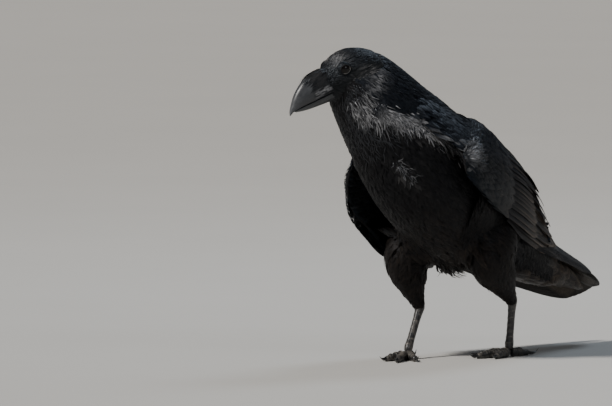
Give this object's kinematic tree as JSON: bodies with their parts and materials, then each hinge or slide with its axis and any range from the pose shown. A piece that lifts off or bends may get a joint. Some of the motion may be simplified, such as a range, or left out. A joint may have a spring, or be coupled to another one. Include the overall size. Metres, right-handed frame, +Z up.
{
  "type": "raven",
  "caption": "Life-size common raven standing with its head turned a little to its right, bill closed, wings folded and tail closed.",
  "frame": {"origin": "middle of the bird's footprint, bill tip to tail tip and wing to wing, on the floor", "axes": "+X to the bird's left, -Y forwards along the body, +Z up"},
  "size_m": [0.1744, 0.5314, 0.3655],
  "materials": {
    "plumage": "glossy black body feathers with a blue and violet sheen, browner on the belly",
    "quill": "black flight feathers, wing coverts and tail, blue sheen above, worn brown at the edges",
    "bill": "black horn, satin, greyer and worn towards the tip",
    "eye": "dark brown, wet gloss",
    "leg": "black horny scales, grey where worn",
    "claw": "polished black horn"
  },
  "bodies": {
    "root": {"bill_lower": "bill", "bill_upper": "bill", "claw_left_1": "claw", "claw_left_2": "claw", "claw_left_3": "claw", "claw_left_4": "claw", "claw_right_1": "claw", "claw_right_2": "claw", "claw_right_3": "claw", "claw_right_4": "claw", "eye_left": "eye", "eye_right": "eye", "head": "plumage", "neck": "plumage", "tail": "quill", "tarsus_left": "leg", "tarsus_right": "leg", "thigh_left": "plumage", "thigh_right": "plumage", "toe_left_1": "leg", "toe_left_2": "leg", "toe_left_3": "leg", "toe_left_4": "leg", "toe_right_1": "leg", "toe_right_2": "leg", "toe_right_3": "leg", "toe_right_4": "leg", "trunk": "plumage", "wing_left": "quill", "wing_right": "quill"}
  },
  "joints": []
}
